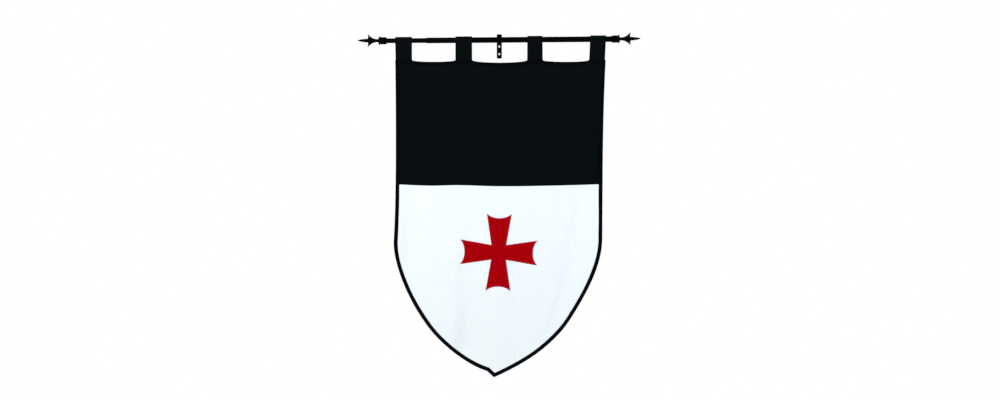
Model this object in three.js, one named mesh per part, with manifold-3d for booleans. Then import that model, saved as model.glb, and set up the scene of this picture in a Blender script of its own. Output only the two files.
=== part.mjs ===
// A shield-shaped cloth banner that hangs by four tabs from an extending rod in one wall bracket.
// Millimetres. +Z is up, +X is to the right as seen from the room, and +Y points into the wall.
// The origin is on the bracket's back face, halfway between its two screw slots.

import * as THREE from "three";
import { mergeVertices } from "three/addons/utils/BufferGeometryUtils.js";
import Module from "manifold-3d";

const wasm = await Module();
wasm.setup();

// Clearance between pieces that lie on each other
const GAP = 0.3;

// The rod's axis at the bracket, its rise to the right, and its two telescoping tubes
const ROD = { fromWall: 40, height: 35.2, rise: THREE.MathUtils.degToRad(0.44) };
const OUTER_TUBE = { left: -259, right: 412.7, radius: 10, wall: 1.2 };
const INNER_TUBE = { left: -413.8, right: -110, radius: 8.5, wall: 1 };
const ROUND_SEGMENTS = 24;

// Points on the small curves of the finials and the bracket
const BEND_STEPS = 5;
const EDGE_STEPS = 3;

// Finials: places along the axis are counted from the mouth of the collar
const FINIAL_LENGTH = 102;
const COLLAR = { radius: 12.8, length: 20, roundedEdge: 1.5, socketDepth: 14, grooveRadius: 12 };
const FLANGE = { start: 21.5, rim: 26.5, radius: 14.8, end: 29, endRadius: 6.6 };
const NECK = { at: 34, radius: 5.5 };
const CUP = { petals: 4, tipAt: 67, tipRadius: 23, floorAt: 54, lip: 1.1, lipRise: 0.4 };
const CUP_BULGE = { outsideAt: 52, outsideRadius: 5.5, insideAt: 62, insideRadius: 9 };
const CUP_STEPS = { outside: 7, inside: 3 };
const NOTCH = { depth: 0.18, shape: 0.75 };
const SPEAR = { rootRadius: 6, radius: 6.3, taperAt: 86, taperRadius: 5.2 };
const SPEAR_POINT = { radius: 1.5, length: 1 };
const LEFT_FINIAL = { mouth: -400.1, turn: 0 };
const RIGHT_FINIAL = { mouth: 399, turn: THREE.MathUtils.degToRad(12) };

// Wall bracket: one bent strip, a plate on the wall, an arm under the rod and a hook in front of it
const STRIP = { width: 18, thickness: 3, lowerCorner: 5, upperCorner: 2.5 };
const PLATE_BOTTOM = -29.5;
const PLATE_BEND = 5;
const HOOK = { riseOverAxis: 14.5, flareRadius: 8, flare: THREE.MathUtils.degToRad(32) };
const SLOT = { width: 5, height: 8, fromMiddle: 13.5 };

// Cloth thicknesses, and the width of the binding that shows on each face
const PANEL_CLOTH = 1.6;
const CROSS_CLOTH = 1;
const TAB_CLOTH = 2.6;
const TAPE = { cloth: 0.8, width: 13 };

// Outline of the bound cloth, with the handles of the curves between its corners
const TOP_LEFT = { x: -369.2, z: -37.5 };
const LEFT_SIDE = { upper: { x: -366, z: -290 }, lower: { x: -366, z: -550 } };
const LEFT_HIP = { x: -374.5, z: -675 };
const LEFT_FLANK = { upper: { x: -379, z: -749.5 }, lower: { x: -329.2, z: -883.2 } };
const LEFT_KNEE = { x: -250.3, z: -986.5 };
const LEFT_FOOT = { upper: { x: -204.7, z: -1046 }, lower: { x: -115.7, z: -1119 } };
const LEFT_OF_POINT = { x: -43.5, z: -1140.5 };
const POINT = { x: -19, z: -1163 };
const RIGHT_FOOT = { lower: { x: 50, z: -1131 }, upper: { x: 183, z: -1070.3 } };
const RIGHT_KNEE = { x: 259.8, z: -944.1 };
const RIGHT_FLANK = { lower: { x: 307.6, z: -866.5 }, upper: { x: 361.8, z: -773.2 } };
const RIGHT_HIP = { x: 365.5, z: -675 };
const RIGHT_SIDE = { lower: { x: 367, z: -419 }, upper: { x: 367, z: -244 } };
const TOP_RIGHT = { x: 377.6, z: -37.5 };
const CURVE_STEPS = 12;

// Tabs from left to right: their edges over the rod and at the foot, and the tube that each hangs on
const TABS = [
  { left: -369.6, right: -310.5, footLeft: -367.8, footRight: -309.8, tube: INNER_TUBE },
  { left: -155.5, right: -96.9, footLeft: -156, footRight: -96.3, tube: OUTER_TUBE },
  { left: 99.6, right: 153, footLeft: 99, footRight: 154.6, tube: OUTER_TUBE },
  { left: 323.1, right: 378.8, footLeft: 318.5, footRight: 374.5, tube: OUTER_TUBE },
];

// How far the cloth's top edge sags between each tab and the next
const SAGS = [5.4, 8.4, 5.4];
const TAB_JOIN_ABOVE_EDGE = 5;
const TAB_FOOT_BELOW_EDGE = 14;
const SAG_HANDLE = 0.13;

// The seam between the black cloth and the white, from left to right
const SEAM = [
  { x: -372, z: -477.5 },
  { x: -245, z: -482.5 },
  { x: -150, z: -480.7 },
  { x: 0, z: -484.6 },
  { x: 250, z: -480.8 },
  { x: 372, z: -477 },
];

// Cross with flared arms and hollowed ends: half widths, and lengths from its middle
const CROSS = { x: -2.3, z: -719.2, turn: THREE.MathUtils.degToRad(-1) };
const CROSS_ARM = { waist: 25.6, tip: 43.5, reach: 137.3, hollow: 22, hollowHandle: 26 };

// Folds of the hanging cloth. Each row is a section across one fold: its height, its middle, how far it
// reaches to the left and to the right, and how far the cloth stands back there (less than zero stands
// forward).
const FOLDS = [
  // long trough left of the cross
  [
    { z: -490, x: -100, left: 30, right: 60, back: 0 },
    { z: -587, x: -104, left: 30, right: 70, back: 1.2 },
    { z: -700, x: -112, left: 34, right: 80, back: 2.2 },
    { z: -817, x: -125, left: 42, right: 110, back: 3.8 },
    { z: -900, x: -113, left: 50, right: 130, back: 5 },
    { z: -977, x: -112, left: 52, right: 130, back: 6 },
    { z: -1040, x: -116, left: 56, right: 130, back: 7 },
    { z: -1170, x: -118, left: 60, right: 120, back: 2 },
  ],
  // winding crease right of the cross
  [
    { z: -430, x: 292, left: 24, right: 40, back: 0 },
    { z: -533, x: 279, left: 24, right: 44, back: 1.4 },
    { z: -587, x: 280, left: 24, right: 44, back: 1.6 },
    { z: -650, x: 254, left: 24, right: 44, back: 1.8 },
    { z: -764, x: 243, left: 24, right: 46, back: 2.2 },
    { z: -817, x: 230, left: 26, right: 50, back: 2.6 },
    { z: -870, x: 224, left: 28, right: 54, back: 3 },
    { z: -924, x: 206, left: 30, right: 60, back: 2.6 },
    { z: -990, x: 178, left: 34, right: 60, back: 1.4 },
    { z: -1060, x: 140, left: 40, right: 60, back: 0 },
  ],
  // short crease that runs into the winding one
  [
    { z: -470, x: 226, left: 22, right: 24, back: 0 },
    { z: -530, x: 226, left: 22, right: 24, back: 1.3 },
    { z: -600, x: 230, left: 22, right: 24, back: 0.9 },
    { z: -670, x: 236, left: 24, right: 26, back: 0 },
  ],
  // shallow trough along the white cloth's left edge
  [
    { z: -400, x: -325, left: 34, right: 70, back: 0 },
    { z: -500, x: -325, left: 34, right: 75, back: 2.6 },
    { z: -620, x: -322, left: 34, right: 80, back: 3.2 },
    { z: -720, x: -316, left: 38, right: 90, back: 2.6 },
    { z: -880, x: -280, left: 44, right: 90, back: 0 },
  ],
  // the point of the shield hangs back a little
  [
    { z: -800, x: 20, left: 160, right: 160, back: 0 },
    { z: -1000, x: 10, left: 170, right: 170, back: 2.5 },
    { z: -1170, x: -20, left: 150, right: 150, back: 6 },
  ],
  // swells down both sides
  [
    { z: -90, x: -310, left: 60, right: 60, back: 0 },
    { z: -300, x: -318, left: 62, right: 62, back: -6 },
    { z: -500, x: -345, left: 60, right: 60, back: -2 },
    { z: -690, x: -372, left: 70, right: 60, back: -4 },
    { z: -850, x: -372, left: 70, right: 60, back: -2 },
    { z: -960, x: -340, left: 70, right: 60, back: 0 },
  ],
  [
    { z: -90, x: 322, left: 56, right: 60, back: 0 },
    { z: -280, x: 330, left: 64, right: 60, back: -5 },
    { z: -500, x: 345, left: 70, right: 60, back: -2.5 },
    { z: -620, x: 372, left: 100, right: 60, back: -5 },
    { z: -760, x: 372, left: 110, right: 60, back: -5.5 },
    { z: -880, x: 350, left: 110, right: 60, back: -3.5 },
    { z: -1000, x: 300, left: 100, right: 60, back: 0 },
  ],
  // swags of the top edge between the tabs
  [
    { z: -30, x: -233, left: 78, right: 78, back: -4 },
    { z: -240, x: -225, left: 74, right: 74, back: 0 },
  ],
  [
    { z: -30, x: 2, left: 98, right: 98, back: -6 },
    { z: -320, x: 8, left: 90, right: 90, back: 0 },
  ],
  [
    { z: -30, x: 237, left: 84, right: 84, back: -4 },
    { z: -250, x: 232, left: 76, right: 76, back: 0 },
  ],
];
const CLOTH_GRID = { columns: 40, rows: 20 };
const GRID_MARGIN = 8;
const CUTTER_REACH = 40;
const WELD = 1e-4;

// Places worked out from the sizes above
const STACK = {
  panelFront: -PANEL_CLOTH / 2,
  panelBack: PANEL_CLOTH / 2,
  cavityFront: -PANEL_CLOTH / 2 - GAP,
  cavityBack: PANEL_CLOTH / 2 + GAP,
  tapeFront: -PANEL_CLOTH / 2 - GAP - TAPE.cloth,
  tapeBack: PANEL_CLOTH / 2 + GAP + TAPE.cloth,
};
const CLOTH_Y = -ROD.fromWall - TAB_CLOTH - GAP - STACK.tapeBack;

// A closed three.js geometry as a solid that can be joined and cut.
function solidOf(geometry) {
  const bare = geometry.clone();
  bare.deleteAttribute("normal");
  bare.deleteAttribute("uv");
  const merged = mergeVertices(bare, WELD);
  return new wasm.Manifold(
    new wasm.Mesh({
      numProp: 3,
      vertProperties: merged.getAttribute("position").array,
      triVerts: new Uint32Array(merged.index.array),
    }),
  );
}

// A cut or joined solid as a three.js geometry again.
function geometryOf(solid) {
  const mesh = solid.getMesh();
  const geometry = new THREE.BufferGeometry();
  geometry.setAttribute("position", new THREE.BufferAttribute(mesh.vertProperties, 3));
  geometry.setIndex(new THREE.BufferAttribute(mesh.triVerts, 1));
  return geometry.toNonIndexed();
}

// Moves every vertex of a geometry by a function that changes a vector in place.
function moveVertices(geometry, move) {
  const positions = geometry.getAttribute("position");
  const point = new THREE.Vector3();
  for (let i = 0; i < positions.count; i += 1) {
    point.fromBufferAttribute(positions, i);
    move(point, i);
    positions.setXYZ(i, point.x, point.y, point.z);
  }
  return geometry;
}

// A profile in the Y-Z plane, extruded along X from 0 to the given length.
function extrudeAlongX(shape, length, curveSegments) {
  const options = { depth: length, bevelEnabled: false, curveSegments };
  const geometry = new THREE.ExtrudeGeometry(shape, options);
  const toY = new THREE.Vector3(0, 1, 0);
  const toZ = new THREE.Vector3(0, 0, 1);
  const toX = new THREE.Vector3(1, 0, 0);
  return geometry.applyMatrix4(new THREE.Matrix4().makeBasis(toY, toZ, toX));
}

// An outline in the X-Z plane, extruded along Y from one depth to another.
function extrudeAlongY(shape, from, to, curveSegments) {
  const options = { depth: to - from, bevelEnabled: false, curveSegments };
  const geometry = new THREE.ExtrudeGeometry(shape, options);
  return geometry.rotateX(Math.PI / 2).translate(0, to, 0);
}

// A lathe turned about the X axis. The profile runs in the sense of +X on its outer side.
function turnAboutX(profile) {
  return new THREE.LatheGeometry(profile, ROUND_SEGMENTS).rotateZ(-Math.PI / 2);
}

// The outline moved inwards by a distance, with mitred corners.
function insetOutline(points, distance) {
  return points.map((point, i) => {
    const before = points[(i + points.length - 1) % points.length];
    const after = points[(i + 1) % points.length];
    const inwardBefore = inwardNormal(before, point);
    const inwardAfter = inwardNormal(point, after);
    const mitre = inwardBefore.clone().add(inwardAfter);
    mitre.multiplyScalar(distance / (1 + inwardBefore.dot(inwardAfter)));
    return mitre.add(point);
  });
}

// The unit normal on the left of a line, which is the inner side of an outline that runs anticlockwise.
function inwardNormal(from, to) {
  return new THREE.Vector2(from.y - to.y, to.x - from.x).normalize();
}

// Outline of the bound cloth, anticlockwise from its top left corner.
function clothOutline() {
  const shape = new THREE.Shape();
  shape.moveTo(TOP_LEFT.x, TOP_LEFT.z);
  curveTo(shape, LEFT_SIDE.upper, LEFT_SIDE.lower, LEFT_HIP);
  curveTo(shape, LEFT_FLANK.upper, LEFT_FLANK.lower, LEFT_KNEE);
  curveTo(shape, LEFT_FOOT.upper, LEFT_FOOT.lower, LEFT_OF_POINT);
  shape.lineTo(POINT.x, POINT.z);
  curveTo(shape, RIGHT_FOOT.lower, RIGHT_FOOT.upper, RIGHT_KNEE);
  curveTo(shape, RIGHT_FLANK.lower, RIGHT_FLANK.upper, RIGHT_HIP);
  curveTo(shape, RIGHT_SIDE.lower, RIGHT_SIDE.upper, TOP_RIGHT);
  for (let i = TABS.length - 2; i >= 0; i -= 1) {
    sagTo(shape, TABS[i + 1].footLeft, TABS[i].footRight, SAGS[i]);
  }
  const points = shape.getPoints(CURVE_STEPS);
  const closes = points[0].distanceTo(points.at(-1)) < GAP;
  return closes ? points.slice(0, -1) : points;
}

// A curve to a point, with the handles given as places.
function curveTo(shape, firstHandle, secondHandle, end) {
  shape.bezierCurveTo(firstHandle.x, firstHandle.z, secondHandle.x, secondHandle.z, end.x, end.z);
}

// The top edge between two tabs, from the right one to the left one.
function sagTo(shape, right, left, sag) {
  const edge = TOP_LEFT.z;
  const handle = SAG_HANDLE * (right - left);
  const lowest = edge - (4 / 3) * sag;
  shape.lineTo(right, edge);
  shape.bezierCurveTo(right - handle, lowest, left + handle, lowest, left, edge);
}

// How far the cloth stands back at a place, from all its folds together.
function drapeOf(folds) {
  const fields = folds.map((sections) => {
    const upwards = [...sections].reverse();
    const heights = upwards.map((section) => section.z);
    const values = upwards.flatMap(({ x, left, right, back }) => [x, left, right, back]);
    return new THREE.CubicInterpolant(heights, values, 4);
  });
  return (x, z) =>
    fields.reduce((sum, field) => {
      const [middle, left, right, back] = field.evaluate(z);
      const reach = x < middle ? left : right;
      const across = Math.min(1, Math.abs(x - middle) / reach);
      return sum + (back * (1 + Math.cos(Math.PI * across))) / 2;
    }, 0);
}

// A layer of the cloth between two depths about its middle, larger than the outline and bent to its folds.
function clothLayer(front, back) {
  const left = LEFT_HIP.x - GRID_MARGIN;
  const right = TOP_RIGHT.x + GRID_MARGIN;
  const bottom = POINT.z - GRID_MARGIN;
  const top = TOP_LEFT.z + GRID_MARGIN;
  const { columns, rows } = CLOTH_GRID;
  const slab = new THREE.BoxGeometry(right - left, back - front, top - bottom, columns, 1, rows);
  slab.translate((left + right) / 2, CLOTH_Y + (front + back) / 2, (top + bottom) / 2);
  const drape = drapeOf(FOLDS);
  moveVertices(slab, (point) => {
    point.y += drape(point.x, point.z);
  });
  return solidOf(slab);
}

// A long straight body of an outline, which cuts a layer of cloth to shape.
function cutter(points) {
  const front = CLOTH_Y - CUTTER_REACH;
  const back = CLOTH_Y + CUTTER_REACH;
  return solidOf(extrudeAlongY(new THREE.Shape(points), front, back));
}

// The region above or below the seam, a little away from it.
function seamSide(side) {
  const far = side > 0 ? TOP_LEFT.z + GRID_MARGIN : POINT.z - GRID_MARGIN;
  const away = (side * GAP) / 2;
  const curve = new THREE.SplineCurve(SEAM.map(({ x, z }) => new THREE.Vector2(x, z + away)));
  const seam = curve.getPoints(CURVE_STEPS);
  const leftEnd = SEAM[0].x - GRID_MARGIN;
  const rightEnd = SEAM.at(-1).x + GRID_MARGIN;
  const outside = [
    new THREE.Vector2(rightEnd, seam.at(-1).y),
    new THREE.Vector2(rightEnd, far),
    new THREE.Vector2(leftEnd, far),
    new THREE.Vector2(leftEnd, seam[0].y),
  ];
  return cutter([...seam, ...outside]);
}

// The two cloths, cut a little inside the fold of the binding and parted at the seam.
function makePanels(outline) {
  const layer = clothLayer(STACK.panelFront, STACK.panelBack);
  const cloth = layer.intersect(cutter(insetOutline(outline, TAPE.cloth + GAP)));
  const black = geometryOf(cloth.intersect(seamSide(1)));
  const white = geometryOf(cloth.intersect(seamSide(-1)));
  return { black, white };
}

// The tape folded over the cloth's edge all round: a band with a slit in it that holds the cloth.
function makeBinding(outline) {
  const band = clothLayer(STACK.tapeFront, STACK.tapeBack).intersect(cutter(outline));
  const inside = cutter(insetOutline(outline, TAPE.width));
  const layerInside = clothLayer(STACK.cavityFront, STACK.cavityBack);
  const slit = layerInside.intersect(cutter(insetOutline(outline, TAPE.cloth)));
  return geometryOf(band.subtract(inside).subtract(slit));
}

// The cross, which lies on the white cloth.
function makeCross() {
  const shape = new THREE.Shape();
  const centre = new THREE.Vector2();
  const middle = new THREE.Vector2(CROSS.x, CROSS.z);
  const { waist, tip, reach, hollow, hollowHandle } = CROSS_ARM;
  for (let arm = 0; arm < 4; arm += 1) {
    const turn = CROSS.turn + (arm * Math.PI) / 2;
    const place = (x, z) => {
      const point = new THREE.Vector2(x, z).rotateAround(centre, turn);
      return point.add(middle).toArray();
    };
    if (arm === 0) {
      shape.moveTo(...place(waist, waist));
    }
    shape.lineTo(...place(tip, reach));
    const rightHandle = place(hollowHandle, reach - hollow);
    const leftHandle = place(-hollowHandle, reach - hollow);
    shape.bezierCurveTo(...rightHandle, ...leftHandle, ...place(-tip, reach));
    shape.lineTo(...place(-waist, waist));
  }
  const outline = shape.getPoints(CURVE_STEPS / 2).slice(0, -1);
  const front = STACK.cavityFront - CROSS_CLOTH;
  return geometryOf(clothLayer(front, STACK.cavityFront).intersect(cutter(outline)));
}

// A tab's profile about the rod's axis: a loop whose two legs meet in a foot straight below the axis.
function tabProfile(tubeRadius, axisToJoin, axisToFoot) {
  const inner = tubeRadius + GAP;
  const outer = inner + TAB_CLOTH;
  const lean = Math.asin(inner / axisToJoin);
  const corner = TAB_CLOTH * (Math.tan(lean / 2) * Math.cos(lean) - Math.sin(lean)) - axisToJoin;
  const shape = new THREE.Shape();
  shape.moveTo(-TAB_CLOTH, -axisToFoot);
  shape.lineTo(TAB_CLOTH, -axisToFoot);
  shape.lineTo(TAB_CLOTH, corner);
  shape.absarc(0, 0, outer, -lean, Math.PI + lean, false);
  shape.lineTo(-TAB_CLOTH, corner);
  const loop = new THREE.Path();
  loop.moveTo(0, -axisToJoin);
  loop.lineTo(inner * Math.cos(lean), -inner * Math.sin(lean));
  loop.absarc(0, 0, inner, -lean, Math.PI + lean, false);
  loop.closePath();
  shape.holes.push(loop);
  return shape;
}

// A tab, whose edges lean from those over the rod to those at its foot, and whose top follows the rod.
function makeTab({ left, right, footLeft, footRight, tube }) {
  const { radius } = tube;
  const slope = Math.tan(ROD.rise);
  const middle = (left + right) / 2;
  const axis = ROD.height + slope * middle;
  const axisToJoin = axis - TOP_LEFT.z - TAB_JOIN_ABOVE_EDGE;
  const axisToFoot = axis - TOP_LEFT.z + TAB_FOOT_BELOW_EDGE;
  const tab = extrudeAlongX(tabProfile(radius, axisToJoin, axisToFoot), 1, ROUND_SEGMENTS / 2);
  return moveVertices(tab, (point) => {
    const down = THREE.MathUtils.clamp((radius - point.z) / (radius + axisToFoot), 0, 1);
    const leftEdge = THREE.MathUtils.lerp(left, footLeft, down);
    const rightEdge = THREE.MathUtils.lerp(right, footRight, down);
    const onRod = THREE.MathUtils.clamp((point.z + axisToFoot) / (axisToFoot - radius), 0, 1);
    point.x = THREE.MathUtils.lerp(leftEdge, rightEdge, point.x);
    point.y -= ROD.fromWall;
    point.z += axis + onRod * slope * (point.x - middle);
  });
}

// A tube between two places on the rod's axis.
function makeTube({ left, right, radius, wall }) {
  const bore = radius - wall;
  const corners = [
    [bore, left],
    [radius, left],
    [radius, right],
    [bore, right],
    [bore, left],
  ];
  return turnAboutX(corners.map(([across, along]) => new THREE.Vector2(across, along)));
}

// The outer side of a finial's cup, from its neck to the tip of a petal.
function cupOutside() {
  const start = new THREE.Vector2(NECK.radius, NECK.at);
  const handle = new THREE.Vector2(CUP_BULGE.outsideRadius, CUP_BULGE.outsideAt);
  const tip = new THREE.Vector2(CUP.tipRadius, CUP.tipAt);
  return new THREE.QuadraticBezierCurve(start, handle, tip);
}

// The hollow side of the cup, from its floor beside the spear to the tip of a petal.
function cupInside() {
  const start = new THREE.Vector2(SPEAR.rootRadius, CUP.floorAt);
  const handle = new THREE.Vector2(CUP_BULGE.insideRadius, CUP_BULGE.insideAt);
  const tip = new THREE.Vector2(CUP.tipRadius - CUP.lip, CUP.tipAt + CUP.lipRise);
  return new THREE.QuadraticBezierCurve(start, handle, tip);
}

// The collar with its socket for the tube, and the sharp flange.
function finialShank(tubeRadius) {
  const socket = tubeRadius + GAP;
  const edge = COLLAR.roundedEdge;
  const shank = new THREE.Path();
  shank.moveTo(0, COLLAR.socketDepth);
  shank.lineTo(socket, COLLAR.socketDepth);
  shank.lineTo(socket, 0);
  shank.lineTo(COLLAR.radius - edge, 0);
  shank.quadraticCurveTo(COLLAR.radius, 0, COLLAR.radius, edge);
  shank.lineTo(COLLAR.radius, COLLAR.length);
  shank.lineTo(COLLAR.grooveRadius, (COLLAR.length + FLANGE.start) / 2);
  shank.lineTo(COLLAR.radius, FLANGE.start);
  shank.lineTo(FLANGE.radius, FLANGE.rim);
  shank.lineTo(FLANGE.endRadius, FLANGE.end);
  return shank.getPoints(EDGE_STEPS);
}

// The spear from where it leaves the cup to its blunt point.
function finialSpear() {
  const spear = new THREE.Path();
  const pointAt = FINIAL_LENGTH - SPEAR_POINT.length;
  spear.moveTo(SPEAR.radius, CUP.tipAt);
  spear.quadraticCurveTo(SPEAR.taperRadius, SPEAR.taperAt, SPEAR_POINT.radius, pointAt);
  spear.lineTo(0, FINIAL_LENGTH);
  return spear.getPoints(BEND_STEPS);
}

// A finial along X: its shank, a neck, a cup whose rim is drawn in between its petals, and a spear.
function makeFinial(tubeRadius) {
  const outside = cupOutside();
  const inside = cupInside();
  const profile = finialShank(tubeRadius);
  const cupStart = profile.length;
  profile.push(...outside.getPoints(CUP_STEPS.outside));
  const rim = profile.length;
  profile.push(...inside.getPoints(CUP_STEPS.inside).reverse());
  const cupEnd = profile.length;
  profile.push(...finialSpear());

  const finial = new THREE.LatheGeometry(profile, ROUND_SEGMENTS);
  const petalWidth = (2 * Math.PI) / CUP.petals;
  moveVertices(finial, (point, i) => {
    const row = i % profile.length;
    if (row < cupStart || row >= cupEnd) {
      return;
    }
    const angle = (Math.floor(i / profile.length) / ROUND_SEGMENTS) * 2 * Math.PI;
    const fromPetal = Math.abs(angle / petalWidth - Math.round(angle / petalWidth)) * 2;
    const reach = 1 - NOTCH.depth * fromPetal ** NOTCH.shape;
    const onOutside = row < rim;
    const steps = onOutside ? row - cupStart : cupEnd - 1 - row;
    const share = steps / (onOutside ? CUP_STEPS.outside : CUP_STEPS.inside);
    const moved = (onOutside ? outside : inside).getPoint(share * reach);
    point.set(moved.x * Math.sin(angle), moved.y, moved.x * Math.cos(angle));
  });
  return finial.rotateZ(-Math.PI / 2);
}

// The strip's side view: a path through the middle of the metal, thickened to both sides.
function stripProfile() {
  const half = STRIP.thickness / 2;
  const hookRadius = OUTER_TUBE.radius + GAP + half;
  const armZ = ROD.height - hookRadius;
  const hookY = -ROD.fromWall - hookRadius;
  const hookTop = ROD.height + HOOK.riseOverAxis;
  const { flareRadius, flare } = HOOK;
  const path = new THREE.Path();
  path.moveTo(-half, PLATE_BOTTOM);
  path.lineTo(-half, armZ - PLATE_BEND);
  path.absarc(-half - PLATE_BEND, armZ - PLATE_BEND, PLATE_BEND, 0, Math.PI / 2, false);
  path.absarc(-ROD.fromWall, ROD.height, hookRadius, (3 * Math.PI) / 2, Math.PI, true);
  path.lineTo(hookY, hookTop);
  path.absarc(hookY - flareRadius, hookTop, flareRadius, 0, flare, false);
  const middle = path.getPoints(BEND_STEPS);
  const sides = [1, -1].map((side) =>
    middle.map((point, i) => {
      const before = middle[Math.max(0, i - 1)];
      const after = middle[Math.min(middle.length - 1, i + 1)];
      return inwardNormal(before, after).multiplyScalar(side * half).add(point);
    }),
  );
  return new THREE.Shape([...sides[1], ...sides[0].reverse()]);
}

// The strip's front view, with rounded corners and its two screw slots.
function stripFront() {
  const { lowerCorner, upperCorner } = STRIP;
  const flareRise = (HOOK.flareRadius + STRIP.thickness / 2) * Math.sin(HOOK.flare);
  const lower = { x: STRIP.width / 2 - lowerCorner, z: PLATE_BOTTOM + lowerCorner };
  const upper = {
    x: STRIP.width / 2 - upperCorner,
    z: ROD.height + HOOK.riseOverAxis + flareRise - upperCorner,
  };
  const quarter = Math.PI / 2;
  const shape = new THREE.Shape();
  shape.absarc(lower.x, lower.z, lowerCorner, -quarter, 0, false);
  shape.absarc(upper.x, upper.z, upperCorner, 0, quarter, false);
  shape.absarc(-upper.x, upper.z, upperCorner, quarter, 2 * quarter, false);
  shape.absarc(-lower.x, lower.z, lowerCorner, 2 * quarter, 3 * quarter, false);
  for (const side of [1, -1]) {
    const radius = SLOT.width / 2;
    const straight = SLOT.height / 2 - radius;
    const slot = new THREE.Path();
    slot.absarc(0, side * SLOT.fromMiddle + straight, radius, 0, Math.PI, false);
    slot.absarc(0, side * SLOT.fromMiddle - straight, radius, Math.PI, 2 * Math.PI, false);
    slot.closePath();
    shape.holes.push(slot);
  }
  return shape;
}

// The bracket: what the strip's side view and its front view have in common.
function makeBracket() {
  const side = extrudeAlongX(stripProfile(), STRIP.width).translate(-STRIP.width / 2, 0, 0);
  const front = extrudeAlongY(stripFront(), -CUTTER_REACH - ROD.fromWall, CUTTER_REACH, BEND_STEPS + 1);
  return geometryOf(solidOf(side).intersect(solidOf(front)));
}

// The materials. A little roughness tells the satin tape and the paint from the matt cloths.

const blackCloth = new THREE.MeshStandardMaterial({ color: 0x0a0f12, roughness: 0.95, metalness: 0 });
const whiteCloth = new THREE.MeshStandardMaterial({ color: 0xf2f8fb, roughness: 0.9, metalness: 0 });
const redCloth = new THREE.MeshStandardMaterial({ color: 0xa5010b, roughness: 0.85, metalness: 0 });
const darkTape = new THREE.MeshStandardMaterial({ color: 0x0d121a, roughness: 0.8, metalness: 0 });
const blackPaint = new THREE.MeshStandardMaterial({ color: 0x07090b, roughness: 0.5, metalness: 0.3 });

// Adds a named piece with a material of its own to a group.
function addPiece(group, name, geometry, material) {
  const piece = new THREE.Mesh(geometry, material.clone());
  piece.name = name;
  group.add(piece);
  return piece;
}

const banner = new THREE.Group();

const rod = new THREE.Group();
rod.position.set(0, -ROD.fromWall, ROD.height);
rod.rotation.y = -ROD.rise;
banner.add(rod);
addPiece(rod, "rod_outer_tube", makeTube(OUTER_TUBE), blackPaint);
addPiece(rod, "rod_inner_tube", makeTube(INNER_TUBE), blackPaint);
const rightFinial = addPiece(rod, "finial_right", makeFinial(OUTER_TUBE.radius), blackPaint);
rightFinial.position.x = RIGHT_FINIAL.mouth;
rightFinial.rotation.x = RIGHT_FINIAL.turn;
const leftFinial = addPiece(rod, "finial_left", makeFinial(INNER_TUBE.radius), blackPaint);
leftFinial.position.x = LEFT_FINIAL.mouth;
leftFinial.rotation.set(LEFT_FINIAL.turn, 0, Math.PI);

addPiece(banner, "bracket", makeBracket(), blackPaint);

const outline = clothOutline();
const panels = makePanels(outline);
addPiece(banner, "panel_black", panels.black, blackCloth);
addPiece(banner, "panel_white", panels.white, whiteCloth);
addPiece(banner, "binding", makeBinding(outline), darkTape);
addPiece(banner, "cross_applique", makeCross(), redCloth);
TABS.forEach((tab, i) => addPiece(banner, `tab_${i + 1}`, makeTab(tab), blackCloth));

export default banner;
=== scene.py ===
"""A shield-shaped cloth flag on an extending rod, with its folds, seams, stitching and finishes.

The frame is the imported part's: +Z is up, +X is to the right as seen from the room, and +Y points into
the wall. Sizes in the classes are millimetres, and a finished mesh is turned to metres.
"""

from __future__ import annotations

import logging
import math
from dataclasses import dataclass, field
from enum import Enum
from typing import Sequence

import bmesh
import bpy
import numpy as np
from mathutils import Matrix, Vector, noise
from mathutils.geometry import interpolate_bezier
from mathutils.kdtree import KDTree


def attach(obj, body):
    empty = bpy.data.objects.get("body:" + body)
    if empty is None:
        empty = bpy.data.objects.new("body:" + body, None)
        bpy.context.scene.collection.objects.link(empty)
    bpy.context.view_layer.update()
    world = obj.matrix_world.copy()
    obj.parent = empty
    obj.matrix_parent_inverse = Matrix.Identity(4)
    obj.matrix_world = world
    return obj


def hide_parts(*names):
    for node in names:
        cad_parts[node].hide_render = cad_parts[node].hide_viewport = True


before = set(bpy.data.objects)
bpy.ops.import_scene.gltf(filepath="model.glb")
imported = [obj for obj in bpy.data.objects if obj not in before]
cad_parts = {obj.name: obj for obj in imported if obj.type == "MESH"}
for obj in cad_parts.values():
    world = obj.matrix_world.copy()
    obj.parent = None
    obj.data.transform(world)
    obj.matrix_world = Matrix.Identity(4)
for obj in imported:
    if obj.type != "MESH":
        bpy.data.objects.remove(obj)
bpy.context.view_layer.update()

log = logging.getLogger("flag")

MM = 0.001
CLOTH_MAP = "cloth"
Point = tuple[float, float]
Pair = tuple[float, float]


class Side(Enum):
    """The two faces of the hanging cloth, as the sign of +Y."""

    ROOM = -1
    WALL = 1


class End(Enum):
    """The two ends of the rod, as the sign of +X."""

    LEFT = -1
    RIGHT = 1


# Finishes


def linear(hex_colour: str) -> tuple[float, float, float, float]:
    """Turns an sRGB hex colour into the linear values that a shader takes.

    Args:
        hex_colour: six hex digits, such as "a5010b".

    Returns:
        Linear red, green, blue and an alpha of 1.
    """
    channels = [int(hex_colour[i : i + 2], 16) / 255 for i in (0, 2, 4)]
    turned = [c / 12.92 if c <= 0.04045 else ((c + 0.055) / 1.055) ** 2.4 for c in channels]
    return (turned[0], turned[1], turned[2], 1.0)


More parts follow.
